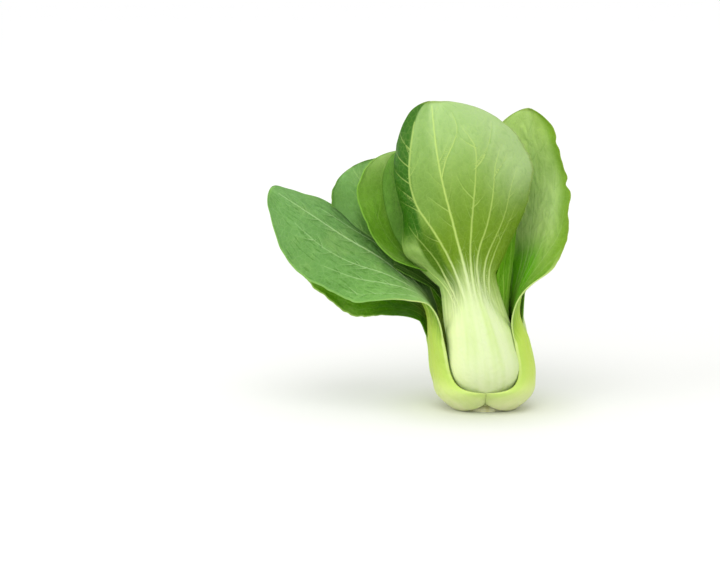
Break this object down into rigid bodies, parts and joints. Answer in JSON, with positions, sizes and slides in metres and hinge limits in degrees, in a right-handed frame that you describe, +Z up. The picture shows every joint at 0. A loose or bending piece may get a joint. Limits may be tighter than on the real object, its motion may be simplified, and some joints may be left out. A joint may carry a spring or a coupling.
{
  "type": "bok choy",
  "caption": "Small head of green-stemmed bok choy standing on its cut base: thick pale stalks clasping a short stem, narrow necks and broad rounded veined blades, one drooping outward.",
  "frame": {"origin": "centre of the cut face of the stem, on the surface the head stands on", "axes": "+Z up along the head, -Y towards the viewer of the front leaf, +X to that viewer's right"},
  "size_m": [0.164, 0.0983, 0.1689],
  "materials": {
    "stalk": "smooth, waxy pale green",
    "leaf": "soft sheen, pale veins on green",
    "heart": "soft sheen, young yellow-green"
  },
  "bodies": {
    "root": {"stem_butt": "stalk", "leaf_under": "leaf", "leaf_right": "leaf", "leaf_left": "leaf", "leaf_back_right": "leaf", "leaf_front": "leaf", "leaf_back": "leaf", "leaf_back_left": "leaf", "leaf_inner_left": "leaf", "leaf_inner_right": "leaf", "heart_front": "heart", "heart_back": "heart", "heart_tip": "heart"}
  },
  "joints": []
}
